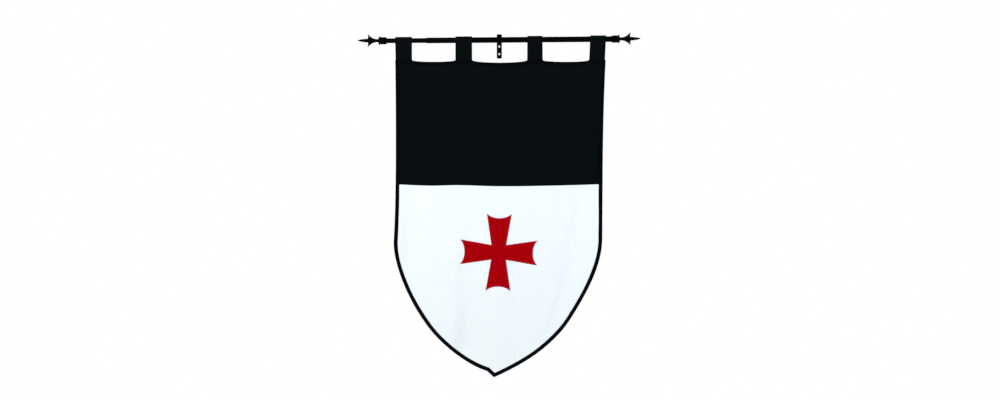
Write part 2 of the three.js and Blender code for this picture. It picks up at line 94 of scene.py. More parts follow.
def add_node(
    material: bpy.types.ID, kind: str, inputs: dict | Sequence = (), **settings: object
) -> bpy.types.Node:
    """Adds a shader node with its settings and links.

    Args:
        material: the material or world whose tree takes the node.
        kind: the node's type after "ShaderNode", such as "Bump".
        inputs: by name or number, or in order, a value, an output socket or a node whose first output
            is meant.
        **settings: the node's own properties.

    Returns:
        The new node.
    """
    tree = material.node_tree
    node = tree.nodes.new(f"ShaderNode{kind}")
    for name, value in settings.items():
        setattr(node, name, value)
    for key, value in inputs.items() if isinstance(inputs, dict) else enumerate(inputs):
        source = value.outputs[0] if isinstance(value, bpy.types.Node) else value
        if isinstance(source, bpy.types.NodeSocket):
            tree.links.new(source, node.inputs[key])
        else:
            node.inputs[key].default_value = source
    return node


def blank_material(name: str) -> bpy.types.Material:
    """Makes a material with an empty node tree.

    Args:
        name: the material's name.

    Returns:
        The material.
    """
    material = bpy.data.materials.new(name)
    material.use_nodes = True
    material.node_tree.nodes.clear()
    return material


@dataclass(frozen=True)
class Finish:
    """What all finishes of the flag share: a name, two close colours, and how rough and shiny it is."""

    name: str
    colour: str
    other_colour: str
    roughness: float
    specular: float

    def cover(
        self,
        material: bpy.types.Material,
        share: bpy.types.Node,
        height: bpy.types.Node,
        relief_mm: float,
        strength: float = 0.5,
        rough: bpy.types.Node | None = None,
    ) -> bpy.types.Material:
        """Ends a material with its colour, relief and shader.

        Args:
            material: the material, which has only its patterns so far.
            share: how much of the other colour shows.
            height: the pattern that stands out.
            relief_mm: how far it stands out.
            strength: how strongly it shows.
            rough: a pattern of roughness, where it isn't even.

        Returns:
            The finished material.
        """
        colours = {0: share, 6: linear(self.colour), 7: linear(self.other_colour)}
        mix = add_node(material, "Mix", colours, data_type="RGBA")
        relief = {"Height": height, "Strength": strength, "Distance": relief_mm * MM}
        surface = {
            "Base Color": mix.outputs[2],
            "Roughness": self.roughness if rough is None else rough,
            "Specular IOR Level": self.specular,
            "Normal": add_node(material, "Bump", relief),
        }
        add_node(material, "OutputMaterial", {"Surface": add_node(material, "BsdfPrincipled", surface)})
        return material


@dataclass(frozen=True)
class WovenCotton(Finish):
    """Plain-woven matt cotton: soft threads over and under each other, with a few thicker ones.

    The threads of the real cloth are about 0.5 mm apart. They are drawn 1.1 mm apart, so that they
    show in a close view.
    """

    on_surface: bool = False
    thread_mm: float = 1.1
    relief_mm: float = 0.12
    slub_mm: Pair = (1.6, 60.0)
    slub_range: Pair = (0.15, 0.38)
    slub_relief: float = 2.0

    def build(self) -> bpy.types.Material:
        """Builds the material, on object coordinates or on the piece's own map.

        Returns:
            The material.
        """
        material = blank_material(self.name)
        across, length = (1 / (size * MM) for size in self.slub_mm)
        if self.on_surface:
            place = add_node(material, "UVMap", uv_map=CLOTH_MAP).outputs["UV"]
            up, scales = "Y", ((across, length, 1), (length, across, 1))
        else:
            place = add_node(material, "TexCoord").outputs["Object"]
            up, scales = "Z", ((across, across, length), (length, across, across))
        parts = add_node(material, "SeparateXYZ", (place,))
        waves = []
        for axis in ("X", up):
            counted = (parts.outputs[axis], math.pi / (self.thread_mm * MM))
            turns = add_node(material, "Math", counted, operation="MULTIPLY")
            waves.append(add_node(material, "Math", (turns,), operation="SINE"))
        weave = add_node(material, "Math", waves, operation="MULTIPLY")
        slubs = []
        for scale in scales:
            stretched = add_node(material, "Mapping", {"Vector": place, "Scale": scale})
            grain = {"Vector": stretched, "Scale": 1.0, "Detail": 1.0}
            slubs.append(add_node(material, "TexNoise", grain))
        slub = add_node(material, "Math", slubs, operation="MULTIPLY")
        low, high = self.slub_range
        share = add_node(material, "MapRange", {"Value": slub, "From Min": low, "From Max": high})
        raised = (slub, self.slub_relief, weave)
        height = add_node(material, "Math", raised, operation="MULTIPLY_ADD")
        return self.cover(material, share, height, self.relief_mm)


@dataclass(frozen=True)
class RibbedThread(Finish):
    """A surface of close ribs: twill tape with slanting ribs, or satin stitches side by side.

    The ribs of twill tape are about 0.6 mm apart and stitches about 0.4 mm. Both are drawn coarser, so
    that they show in a close view. Patches about 11 mm long are a little lighter, and the crown of each
    rib is drawn in the lighter colour as a painted sheen.
    """

    rib_mm: float
    slant: float
    relief_mm: float = 0.15
    patches_per_m: float = 90.0
    # how much of the lighter colour a rib's hollow and its crown take: a painted sheen on the crowns
    crown_sheen_share: Pair = (0.35, 0.65)

    def build(self) -> bpy.types.Material:
        """Builds the material on the piece's own map, whose first axis runs along the piece.

        Returns:
            The material.
        """
        material = blank_material(self.name)
        place = add_node(material, "UVMap", uv_map=CLOTH_MAP)
        parts = add_node(material, "SeparateXYZ", (place,))
        slanted = (parts.outputs["Y"], self.slant, parts.outputs["X"])
        along = add_node(material, "Math", slanted, operation="MULTIPLY_ADD")
        counted = (along, 2 * math.pi / (self.rib_mm * MM))
        turns = add_node(material, "Math", counted, operation="MULTIPLY")
        rib = add_node(material, "Math", (turns,), operation="SINE")
        grain = {"Vector": place, "Scale": self.patches_per_m, "Detail": 2.0}
        uneven = add_node(material, "TexNoise", grain)
        # painted sheen: the crown of each rib takes more of the lighter colour, wherever the lamps are
        sheen_on_crowns = add_node(material, "Math", (rib, *self.crown_sheen_share), operation="MULTIPLY_ADD")
        share = add_node(material, "Math", (uneven, sheen_on_crowns), operation="MULTIPLY")
        return self.cover(material, share, rib, self.relief_mm)


@dataclass(frozen=True)
class PowderCoat(Finish):
    """Powder coat baked on steel: an even skin with a faint orange peel and patches 20 mm wide."""

    peel_mm: float = 1.6
    peel_height_mm: float = 0.05
    peel_strength: float = 0.25
    patches_per_m: float = 45.0
    patch_range: Pair = (0.3, 0.7)
    rougher: Pair = (-0.05, 0.06)

    def build(self) -> bpy.types.Material:
        """Builds the material on object coordinates.

        Returns:
            The material.
        """
        material = blank_material(self.name)
        place = add_node(material, "TexCoord").outputs["Object"]
        grain = {"Vector": place, "Scale": 1 / (self.peel_mm * MM), "Detail": 1.0}
        peel = add_node(material, "TexNoise", grain)
        patchy = {"Vector": place, "Scale": self.patches_per_m, "Detail": 3.0}
        patches = add_node(material, "TexNoise", patchy)
        smoothest, roughest = (self.roughness + change for change in self.rougher)
        span = (patches, *self.patch_range, smoothest, roughest)
        rough = add_node(material, "MapRange", span)
        return self.cover(material, patches, peel, self.peel_height_mm, self.peel_strength, rough)


class Finishes:
    """Every finish of the flag, built once."""

    def __init__(self) -> None:
        """Builds the materials."""
        # dyed cotton: a deep bluish black that takes up the light, without gloss
        black = ("060a0c", "080d10", 0.93, 0.02)
        self.black_cloth = WovenCotton("black_woven_cotton", *black).build()
        self.black_strap = WovenCotton("black_woven_cotton_strap", *black, on_surface=True).build()
        # bleached cotton: a cool matt white on which the folds show as soft grey shadows
        self.white_cloth = WovenCotton("white_woven_cotton", "eff5f7", "e9f1f5", 0.93, 0.1).build()
        # dyed cotton: a full deep red, without gloss
        self.red_cloth = WovenCotton("red_woven_cotton", "a6000a", "9b0009", 0.93, 0.02).build()
        # twill tape: bluish black, with slanting ribs up close whose crowns carry a painted sheen
        ribs = {"rib_mm": 1.3, "slant": 1.0}
        self.tape = RibbedThread("dark_twill_tape", "020409", "060810", 0.8, 0.02, **ribs).build()
        # satin stitch: a raised red line with a low sheen, and a painted sheen of lighter red on the
        # crown of each close thread
        ribs = {"rib_mm": 0.9, "slant": 0.0}
        self.satin = RibbedThread("red_satin_stitch", "a3000d", "b80416", 0.55, 0.12, **ribs).build()
        # spun sewing thread: small black stitches with a faint sheen, and a painted sheen on the crowns
        # of their twists
        ribs = {"rib_mm": 0.6, "slant": 1.0}
        self.thread = RibbedThread("black_sewing_thread", "05070a", "0b0e13", 0.6, 0.1, **ribs).build()
        # powder coat: a deep black skin whose soft shine stays faint
        self.paint = PowderCoat("powder_coated_steel", "020304", "040507", 0.45, 0.02).build()


# Making a piece from a mesh


def finish_piece(
    bm: bmesh.types.BMesh,
    name: str,
    material: bpy.types.Material,
    stands_for: Sequence[str] = (),
    sharp: float = 40.0,
) -> bpy.types.Object:
    """Turns a mesh in millimetres into a finished piece of the flag.

    Args:
        bm: the mesh, which is freed.
        name: the piece's name.
        material: its finish.
        stands_for: the solids that the piece replaces.
        sharp: the angle in degrees over which an edge stays sharp.

    Returns:
        The new object, at the origin, riding with the part.
    """
    bm.transform(Matrix.Scale(MM, 4))
    mesh = bpy.data.meshes.new(name)
    bm.to_mesh(mesh)
    bm.free()
    mesh.shade_smooth()
    mesh.set_sharp_from_angle(angle=math.radians(sharp))
    mesh.materials.append(material)
    piece = bpy.data.objects.new(name, mesh)
    bpy.context.scene.collection.objects.link(piece)
    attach(piece, "root")
    if stands_for:
        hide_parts(*stands_for)
    log.info("%s: %d faces", name, len(mesh.polygons))
    return piece


def thicken(piece: bpy.types.Object, thickness: float) -> None:
    """Gives a sheet its thickness, half to each side.

    Args:
        piece: the sheet.
        thickness: its thickness in millimetres.
    """
    solidify = piece.modifiers.new("thickness", "SOLIDIFY")
    solidify.thickness = thickness * MM
    solidify.offset = 0.0
    solidify.use_even_offset = True


def grid_points(along: int, across: int) -> tuple[np.ndarray, np.ndarray]:
    """Lists a grid's points, as the step along the piece and the rung across it of each."""
    step, rung = np.indices((along + 1, across + 1)).reshape(2, -1)
    return step, rung


def swept_grid(
    step: np.ndarray, rung: np.ndarray, places: np.ndarray, mapped: np.ndarray
) -> bmesh.types.BMesh:
    """Lays a grid on a surface that is given point by point, and joins the edges that meet.

    Args:
        step: each point's step along the piece, as grid_points gives it.
        rung: each point's rung across it.
        places: each point's place.
        mapped: each point's two coordinates on the piece's map, in metres.

    Returns:
        The mesh, with its map.
    """
    along, across = int(step.max()), int(rung.max())
    bm = bmesh.new()
    bmesh.ops.create_grid(bm, x_segments=along, y_segments=across, size=0.5)
    grid = np.array([v.co.xy for v in bm.verts]) + 0.5
    numbers = np.rint(grid * (along, across)).astype(int) @ (across + 1, 1)
    layer = bm.loops.layers.uv.new(CLOTH_MAP)
    bm.verts.index_update()
    for face in bm.faces:
        for loop in face.loops:
            loop[layer].uv = mapped[numbers[loop.vert.index]]
    for vertex, number in zip(bm.verts, numbers):
        vertex.co = places[number]
    bmesh.ops.remove_doubles(bm, verts=bm.verts[:], dist=1e-4)
    bmesh.ops.recalc_face_normals(bm, faces=bm.faces[:])
    return bm


# Lines, the outline and the folds


def lengths_along(line: np.ndarray) -> np.ndarray:
    """Measures how far along a line each of its points is."""
    return np.concatenate([[0.0], np.cumsum(np.linalg.norm(np.diff(line, axis=0), axis=1))])


def closed(outline: np.ndarray) -> np.ndarray:
    """Repeats an outline's first point at its end."""
    return np.concatenate([outline, outline[:1]])


def points_at(line: np.ndarray, places: np.ndarray) -> np.ndarray:
    """Reads the points of a line that are the given lengths along it."""
    lengths = lengths_along(line)
    return np.stack([np.interp(places, lengths, axis) for axis in line.T], axis=1)


def bezier(knots: Sequence[Point], count: int) -> np.ndarray:
    """Draws a Bezier curve through its start, two handles and end, as so many points."""
    return np.array([p.xy for p in interpolate_bezier(*(Vector((*k, 0)) for k in knots), count)])


def spline_rows(heights: np.ndarray, rows: np.ndarray, at: np.ndarray) -> np.ndarray:
    """Reads smooth values between the rows of a table.

    Args:
        heights: the rows' places, rising.
        rows: the values of each row.
        at: the places to read, held at the table's ends beyond them.

    Returns:
        One row of values for each place.
    """
    at = np.clip(at, heights[0], heights[-1])
    last = len(heights) - 2
    i = np.clip(np.searchsorted(heights, at, side="right") - 1, 0, last)
    before = np.where(i == 0, i + 1, i - 1)
    after = np.where(i == last, i, np.minimum(i + 2, last + 1))
    start, end = heights[i], heights[i + 1]
    half = (end - start) / 2
    w_before = half / (start - heights[before])
    w_after = half / (heights[after] - end)
    p = (at - start) / (end - start)
    weights = (
        (before, -w_before * p**3 + 2 * w_before * p**2 - w_before * p),
        (i, (1 + w_before) * p**3 - (1.5 + 2 * w_before) * p**2 - (0.5 - w_before) * p + 1),
        (i + 1, -(1 + w_after) * p**3 + (1.5 + w_after) * p**2 + 0.5 * p),
        (after, w_after * p**3 - w_after * p**2),
    )
    return sum(weight[:, None] * rows[index] for index, weight in weights)


@dataclass(frozen=True)
class Outline:
    """The edge of the bound cloth, anticlockwise from its top left corner.

    Each row is a curve's two handles and its end. The top edge sags between the tabs: a sag's right
    end, its left end and its depth.
    """

    start: Point = (-369.2, -37.5)
    curves: tuple[tuple[Point, Point, Point], ...] = (
        ((-366, -290), (-366, -550), (-374.5, -675)),
        ((-379, -749.5), (-329.2, -883.2), (-250.3, -986.5)),
        ((-204.7, -1046), (-115.7, -1119), (-43.5, -1140.5)),
        ((-35.3, -1148), (-27.2, -1155.5), (-19, -1163)),
        ((50, -1131), (183, -1070.3), (259.8, -944.1)),
        ((307.6, -866.5), (361.8, -773.2), (365.5, -675)),
        ((367, -419), (367, -244), (377.6, -37.5)),
    )
    sags: tuple[tuple[float, float, float], ...] = (
        (318.5, 154.6, 5.4),
        (99.0, -96.3, 8.4),
        (-156.0, -309.8, 5.4),
    )
    sag_handle: float = 0.13
    dense: int = 400
    spacing: float = 3.4
    tape_width: float = 14.0

    def segments(self) -> list[np.ndarray]:
        """Draws the curves, the sags and the straight stretches between the sags.

        Returns:
            Dense points for each, in order round the edge.
        """
        edge = self.start[1]
        rows = list(self.curves)
        for right, left, sag in self.sags:
            handle = self.sag_handle * (right - left)
            lowest = edge - sag * 4 / 3
            rows.append((rows[-1][2], (right, edge), (right, edge)))
            rows.append(((right - handle, lowest), (left + handle, lowest), (left, edge)))
        rows.append((rows[-1][2], self.start, self.start))
        starts = [self.start, *(row[2] for row in rows)]
        return [bezier((start, *row), self.dense) for start, row in zip(starts, rows)]

    def stations(self) -> np.ndarray:
        """Spaces points evenly along the edge, and clears the room that each mitred corner needs.

        Returns:
            The points, anticlockwise.
        """
        pieces = self.segments()
        ways = [(piece[3] - piece[0], piece[-1] - piece[-4]) for piece in pieces]
        clear = []
        for i, (out, _) in enumerate(ways):
            into = ways[i - 1][1]
            turn = math.atan2(into[0] * out[1] - into[1] * out[0], float(into @ out))
            clear.append(self.tape_width * math.tan(max(0.0, turn) / 2))
        found = []
        for piece, before, after in zip(pieces, clear, [*clear[1:], clear[0]]):
            total = lengths_along(piece)[-1]
            steps = max(2, round((total - (before + after)) / self.spacing))
            places = np.linspace(before, total - after, steps + 1)
            if before > 1e-6:
                places = np.concatenate([[0.0], places])
            if after < 1e-6:
                places = places[:-1]
            found.append(points_at(piece, places))
        return np.concatenate(found)


def mitres(points: np.ndarray) -> np.ndarray:
    """Works out the step inwards that keeps the sides of a closed outline parallel.

    Args:
        points: the outline, anticlockwise.

    Returns:
        The step at each point, for an inset of 1 mm.
    """
    before = points - np.roll(points, 1, axis=0)
    after = np.roll(points, -1, axis=0) - points
    normals = []
    for along in (before, after):
        normal = np.stack([-along[:, 1], along[:, 0]], axis=1)
        normals.append(normal / np.linalg.norm(normal, axis=1, keepdims=True))
    share = 1 + np.sum(normals[0] * normals[1], axis=1, keepdims=True)
    return (normals[0] + normals[1]) / share


Section = tuple[float, float, float, float, float]

# Each fold is a row of sections across it: height, middle, reach to the left and to the right, and how
# far the cloth stands back there. Less than zero stands forward.
FOLDS: tuple[tuple[Section, ...], ...] = (
    # long trough left of the cross
    (
        (-1170, -118, 60, 120, 3.5),
        (-1040, -116, 58, 130, 9.5),
        (-977, -113, 52, 130, 7.5),
        (-900, -114, 50, 130, 5.6),
        (-817, -125, 42, 110, 3.8),
        (-700, -112, 34, 80, 2.2),
        (-587, -104, 30, 70, 1.2),
        (-490, -100, 30, 60, 0),
    ),
    # winding crease right of the cross
    (
        (-1060, 140, 40, 60, 0),
        (-990, 178, 34, 60, 1.4),
        (-924, 206, 30, 60, 2.6),
        (-870, 224, 28, 54, 3),
        (-817, 230, 26, 50, 2.6),
        (-764, 243, 24, 46, 2.2),
        (-650, 254, 24, 44, 1.8),
        (-587, 280, 24, 44, 1.6),
        (-533, 279, 24, 44, 1.4),
        (-430, 292, 24, 40, 0),
    ),
    # short crease that runs into the winding one
    (
        (-670, 236, 24, 26, 0),
        (-600, 230, 22, 24, 0.9),
        (-530, 226, 22, 24, 1.3),
        (-470, 226, 22, 24, 0),
    ),
    # shallow trough along the white cloth's left edge
    (
        (-880, -280, 44, 90, 0),
        (-720, -316, 38, 90, 1.6),
        (-620, -320, 36, 80, 1.9),
        (-500, -320, 36, 75, 1.6),
        (-400, -325, 34, 70, 0),
    ),
    # the point of the shield hangs back a little
    (
        (-1170, -20, 150, 150, 6),
        (-1000, 10, 170, 170, 2.5),
        (-800, 20, 160, 160, 0),
    ),
    # swells down both sides
    (
        (-960, -340, 70, 60, 0),
        (-850, -372, 70, 60, -2),
        (-690, -372, 70, 60, -4),
        (-500, -345, 60, 60, -2),
        (-300, -318, 62, 62, -6),
        (-90, -310, 60, 60, 0),
    ),
    (
        (-1000, 300, 100, 60, 0),
        (-880, 350, 110, 60, -3.5),
        (-760, 372, 110, 60, -5.5),
        (-620, 372, 100, 60, -5),
        (-500, 345, 70, 60, -2.5),
        (-280, 330, 64, 60, -5),
        (-90, 322, 56, 60, 0),
    ),
    # swags of the top edge between the tabs
    (
        (-240, -225, 74, 74, 0),
        (-30, -233, 78, 78, -4),
    ),
    (
        (-320, 8, 90, 90, 0),
        (-30, 2, 98, 98, -6),
    ),
    (
        (-250, 232, 76, 76, 0),
        (-30, 237, 84, 84, -4),
    ),
)


@dataclass
class Drape:
    """How the hanging cloth stands away from its flat plane: folds, small waves and puckered seams.

    The seam between the two cloths is a row of places across and heights.
    """

    edge: np.ndarray
    plane: float = -44.8
    wave: float = 0.45
    wave_mm: Pair = (52.0, 210.0)
    pucker: float = 0.28
    pucker_pitch: float = 17.0
    pucker_fade: float = 14.0
    pucker_least: float = 0.6
    drift_rate: float = 0.4
    drift_mm: float = 40.0
    drift_swing: Pair = (5.0, 4.0)
    drift_row: Pair = (5.0, 9.0)
    seam: tuple[Point, ...] = (
        (-372, -477.5),
        (-245, -482.5),
        (-150, -480.7),
        (0, -484.6),
        (250, -480.8),
        (372, -477),
    )
    tree: KDTree = field(init=False)
    lengths: np.ndarray = field(init=False)

    def __post_init__(self) -> None:
        """Prepares the search for the nearest place on the bound edge."""
        self.lengths = lengths_along(self.edge)
        self.tree = KDTree(len(self.edge))
        for i, (x, z) in enumerate(self.edge):
            self.tree.insert((x, 0, z), i)
        self.tree.balance()

    def seam_height(self, x: np.ndarray) -> np.ndarray:
        """Reads the height of the seam between the two cloths."""
        table = np.array(self.seam)
        return spline_rows(table[:, 0], table[:, 1:], x)[:, 0]

    def folds(self, x: np.ndarray, z: np.ndarray) -> np.ndarray:
        """Adds up the listed folds.

        Args:
            x: places across.
            z: their heights.

        Returns:
            How far the folds stand back at each place.
        """
        total = np.zeros_like(x)
        for sections in FOLDS:
            table = np.array(sections, float)
            middle, left, right, back = spline_rows(table[:, 0], table[:, 1:], z).T
            across = np.clip((x - middle) / np.where(x < middle, left, right), -1, 1)
            total += back * (1 + np.cos(math.pi * across)) / 2
        return total

    def relief(self, x: float, z: float, seam: float) -> float:
        """Works out the small waves of the cloth, and the puckers along its tape and its seam.

        Args:
            x: a place across.
            z: its height.
            seam: the seam's height above or below it.

        Returns:
            How far they stand back there.
        """
        wide, long = self.wave_mm
        (tape_swing, seam_swing), (tape_row, seam_row) = self.drift_swing, self.drift_row
        wave = self.wave * noise.noise((x / wide, 0.0, z / long))
        _, index, from_edge = self.tree.find((x, 0, z))
        along = self.lengths[index] / self.pucker_pitch
        drift = noise.noise((along * self.drift_rate, tape_row, 0.0))
        swing = math.sin(2 * math.pi * along + tape_swing * drift)
        by_tape = swing * (self.pucker_least + drift) * math.exp(-from_edge / self.pucker_fade)
        drift = noise.noise((x / self.drift_mm, seam_row, 0.0))
        swing = math.sin(2 * math.pi * x / self.pucker_pitch + seam_swing * drift)
        by_seam = swing * math.exp(-abs(z - seam) / self.pucker_fade)
        return wave + self.pucker * (by_tape + by_seam)

    def lay(self, flat: np.ndarray, back: np.ndarray | float) -> np.ndarray:
        """Lays flat places on the hanging cloth.

        Args:
            flat: places across and heights.
            back: how far each lies behind the cloth's middle plane.

        Returns:
            The places in the part's frame.
        """
        x, z = flat.T
        rows = zip(x.tolist(), z.tolist(), self.seam_height(x).tolist())
        small = np.array([self.relief(*row) for row in rows])
        return np.stack([x, self.plane + self.folds(x, z) + small + back, z], axis=1)

    def hang(
        self, bm: bmesh.types.BMesh, back: float = 0.0, roll: float = 0.0, over: float = 1.0
    ) -> None:
        """Drapes a flat mesh.

        Args:
            bm: the mesh, in the X-Z plane.
            back: how far it lies behind the cloth's middle plane.
            roll: how far its edge at the seam is rolled back into it.
            over: how wide the rolled edge is.
        """
        flat = np.array([v.co.xz for v in bm.verts], float)
        from_seam = np.abs(flat[:, 1] - self.seam_height(flat[:, 0]))
        rolled = roll * np.clip(1 - from_seam / over, 0, 1) ** 2
        for vertex, place in zip(bm.verts, self.lay(flat, back + rolled)):
            vertex.co = place
        bmesh.ops.recalc_face_normals(bm, faces=bm.faces[:])


# Cloth pieces


def cut_cloth(
    outline: np.ndarray, cell: float, hems: Sequence[float] = (), merge: float = 0.05
) -> bmesh.types.BMesh:
    """Cuts a flat cloth in the X-Z plane and divides it into cells that can be draped.

    Args:
        outline: its corners.
        cell: the width of a cell.
        hems: widths of narrow bands along its edge, so that the edge can be rolled.
        merge: vertices that are closer than this become one.

    Returns:
        The flat mesh.
    """
    bm = bmesh.new()
    middle = bm.faces.new([bm.verts.new((x, 0, z)) for x, z in outline])
    for hem in hems:
        bmesh.ops.inset_region(bm, faces=[middle], thickness=hem, use_even_offset=True, use_boundary=True)
    for line, direction in zip(outline.T, (Vector((1, 0, 0)), Vector((0, 0, 1)))):
        for place in np.arange(line.min() + cell, line.max(), cell):
            geometry = bm.verts[:] + bm.edges[:] + bm.faces[:]
            co = direction * float(place)
            bmesh.ops.bisect_plane(bm, geom=geometry, dist=1e-4, plane_co=co, plane_no=direction)
    bmesh.ops.remove_doubles(bm, verts=bm.verts[:], dist=merge)
    return bm


def stitches_along(
    bm: bmesh.types.BMesh,
    path: np.ndarray,
    facing: int,
    pitch: float = 3.4,
    length: float = 2.7,
    thick: float = 0.5,
) -> None:
    """Sews a line of stitches along a path.

    Args:
        bm: the mesh that takes the stitches.
        path: points of the sewn line.
        facing: the way that the cloth faces there, as the sign of +Y.
        pitch: the distance from one stitch to the next.
        length: a stitch's own length.
        thick: the thread's thickness.
    """
    total = lengths_along(path)[-1]
    count = max(1, int(total / pitch))
    middles = (np.arange(count) + 0.5) * total / count
    size = Matrix.Diagonal((length / 2, thick / 2, thick / 2, 1))
    for ends in zip(points_at(path, middles - length / 2), points_at(path, middles + length / 2)):
        start, end = (Vector(point) for point in ends)
        along = (end - start).normalized()
        side = along.cross(Vector((0, facing, 0))).normalized()
        turn = Matrix((along, side, along.cross(side))).transposed().to_4x4()
        place = Matrix.Translation((start + end) / 2)
        bmesh.ops.create_icosphere(bm, subdivisions=1, radius=1, matrix=place @ turn @ size)


def finish_stitches(
    bm: bmesh.types.BMesh, name: str, finishes: Finishes
) -> bpy.types.Object:
    """Makes stitches a piece, with a map from their places so that the thread's ribs cross them.

    Args:
        bm: the stitches, which are freed.
        name: the piece's name.
        finishes: the finishes of the flag.

    Returns:
        The new object.
    """
    layer = bm.loops.layers.uv.new(CLOTH_MAP)
    for face in bm.faces:
        for loop in face.loops:
            loop[layer].uv = ((loop.vert.co.x + loop.vert.co.z) * MM, loop.vert.co.y * MM)
    return finish_piece(bm, name, finishes.thread)


@dataclass
class Cloths:
    """The black cloth, the white cloth and the seam between them."""

    outline: np.ndarray
    drape: Drape
    finishes: Finishes
    thickness: float = 1.0
    inside_tape: float = 2.0
    cell: float = 5.5
    hems: Pair = (1.3, 2.2)
    roll: float = 0.7
    seam_steps: int = 90
    off_seam: float = 1.5
    seam_band: Pair = (-486.0, -474.0)
    allowance: float = 11.0
    allowance_back: float = 1.15
    allowance_thickness: float = 0.8
    allowance_grid: tuple[int, int] = (150, 6)
    inside_seam: float = Outline.tape_width + 0.8
    bow: float = 0.25
    bow_mm: float = 9.0
    topstitch: float = 3.0
    topstitch_span: Pair = (-350.0, 348.0)
    topstitch_steps: int = 400
    thread_out: Pair = (0.55, 1.6)

    def part_outline(self, upper: bool) -> np.ndarray:
        """Takes the part of the inset outline above or below the seam, closed along the seam.

        Args:
            upper: True for the black cloth above the seam.

        Returns:
            The cloth's flat outline.
        """
        inner = self.outline + mitres(self.outline) * self.inside_tape
        seam = self.drape.seam_height(inner[:, 0])
        shield = np.flatnonzero(inner[:, 1] < seam - self.off_seam)
        head = np.flatnonzero(inner[:, 1] > seam + self.off_seam)
        x = np.linspace(inner[shield[0], 0], inner[shield[-1], 0], self.seam_steps)
        line = np.stack([x, self.drape.seam_height(x)], axis=1)
        if not upper:
            return np.concatenate([inner[shield], line[::-1]])
        return np.concatenate([inner[head[head < shield[0]]], line, inner[head[head > shield[-1]]]])

    def build(self) -> list[bpy.types.Object]:
        """Builds both cloths, the seam's pressed edge behind them and the line sewn above it.

        Returns:
            The four pieces.
        """
        pieces = []
        table = (
            ("cloth_black", True, self.finishes.black_cloth, "black_cloth", "panel_black"),
            ("cloth_white", False, self.finishes.white_cloth, "white_cloth", "panel_white"),
        )
        for name, upper, material, slot, node in table:
            outline = self.part_outline(upper)
            bm = cut_cloth(outline, self.cell, self.hems)
            self.drape.hang(bm, roll=self.roll, over=sum(self.hems))
            piece = finish_piece(bm, name, material, (node,))
            thicken(piece, self.thickness)
            pieces.append(piece)
        return [*pieces, self.seam_allowance(), self.seam_topstitch()]

    def seam_allowance(self) -> bpy.types.Object:
        """Builds the cut edges of the seam, pressed up behind the black cloth.

        Returns:
            The piece.
        """
        inner = self.outline + mitres(self.outline) * self.inside_seam
        low, high = self.seam_band
        level = inner[(inner[:, 1] > low) & (inner[:, 1] < high), 0]
        left, width = level.min(), np.ptp(level)
        along, across = self.allowance_grid
        step, rung = grid_points(along, across)
        share = rung / across
        x = left + width * step / along
        flat = np.stack([x, self.drape.seam_height(x) + self.allowance * share], axis=1)
        back = self.allowance_back + self.bow * np.sin(x / self.bow_mm) * share
        mapped = np.stack([x - left, self.allowance * share], axis=1) * MM
        bm = swept_grid(step, rung, self.drape.lay(flat, back), mapped)
        piece = finish_piece(bm, "seam_allowance", self.finishes.white_cloth)
        thicken(piece, self.allowance_thickness)
        return piece

    def seam_topstitch(self) -> bpy.types.Object:
        """Sews the line that holds the pressed edge, just above the seam, on both faces.

        Returns:
            The piece.
        """
        bm = bmesh.new()
        x = np.linspace(*self.topstitch_span, self.topstitch_steps)
        flat = np.stack([x, self.drape.seam_height(x) + self.topstitch], axis=1)
        for side, out in zip(Side, self.thread_out):
            stitches_along(bm, self.drape.lay(flat, side.value * out), side.value)
        return finish_stitches(bm, "seam_topstitch", self.finishes)


@dataclass
class EdgeTape:
    """The dark tape folded over the cloth's edge all round, mitred at the corners, and its stitching."""

    outline: np.ndarray
    drape: Drape
    finishes: Finishes
    width: float = 13.5
    sewn_at: float = 11.6
    thread_out: float = 1.45
    uneven: float = 0.03
    uneven_mm: Pair = (31.0, 87.0)
    # front half of the section: distance in from the edge, and depth in front of the middle plane
    section: tuple[Point, ...] = (
        (13.4, 0.6),
        (13.6, 0.95),
        (13.4, 1.35),
        (12.8, 1.55),
        (11.6, 1.42),
        (10.4, 1.6),
        (6.5, 1.66),
        (3.5, 1.62),
        (1.6, 1.5),
        (0.5, 1.1),
        (0.0, 0.45),
    )
    inner: tuple[Point, ...] = ((0.9, 0.55), (1.6, 0.6), (6.0, 0.62))

    def ring(self) -> np.ndarray:
        """Lists the closed section once round: front outside, back outside, then the inside.

        Returns:
            Distances in from the edge and depths behind the middle plane.
        """
        front = [(s, -d) for s, d in self.section]
        back = [(s, d) for s, d in reversed(self.section)]
        inside = [(s, d) for s, d in reversed(self.inner)] + [(s, -d) for s, d in self.inner]
        return closed(np.array(front + back + inside))

    def build(self) -> list[bpy.types.Object]:
        """Builds the tape and both lines of stitches.

        Returns:
            The two pieces.
        """
        ring = self.ring()
        inward = mitres(self.outline)
        lengths = lengths_along(closed(self.outline))
        step, rung = grid_points(len(self.outline), len(ring) - 1)
        i = step % len(self.outline)
        first, second = self.uneven_mm
        uneven = 1 + self.uneven * np.sin(lengths[i] / first) * np.sin(lengths[i] / second)
        flat = self.outline[i] + inward[i] * (ring[rung, 0] * uneven)[:, None]
        mapped = np.stack([lengths[step], lengths_along(ring)[rung]], axis=1) * MM
        bm = swept_grid(step, rung, self.drape.lay(flat, ring[rung, 1]), mapped)
        tape = finish_piece(bm, "edge_tape", self.finishes.tape, ("binding",), 60.0)
        sewn = closed(self.outline + inward * self.sewn_at)
        bm = bmesh.new()
        for side in Side:
            stitches_along(bm, self.drape.lay(sewn, side.value * self.thread_out), side.value)
        return [tape, finish_stitches(bm, "edge_tape_stitches", self.finishes)]


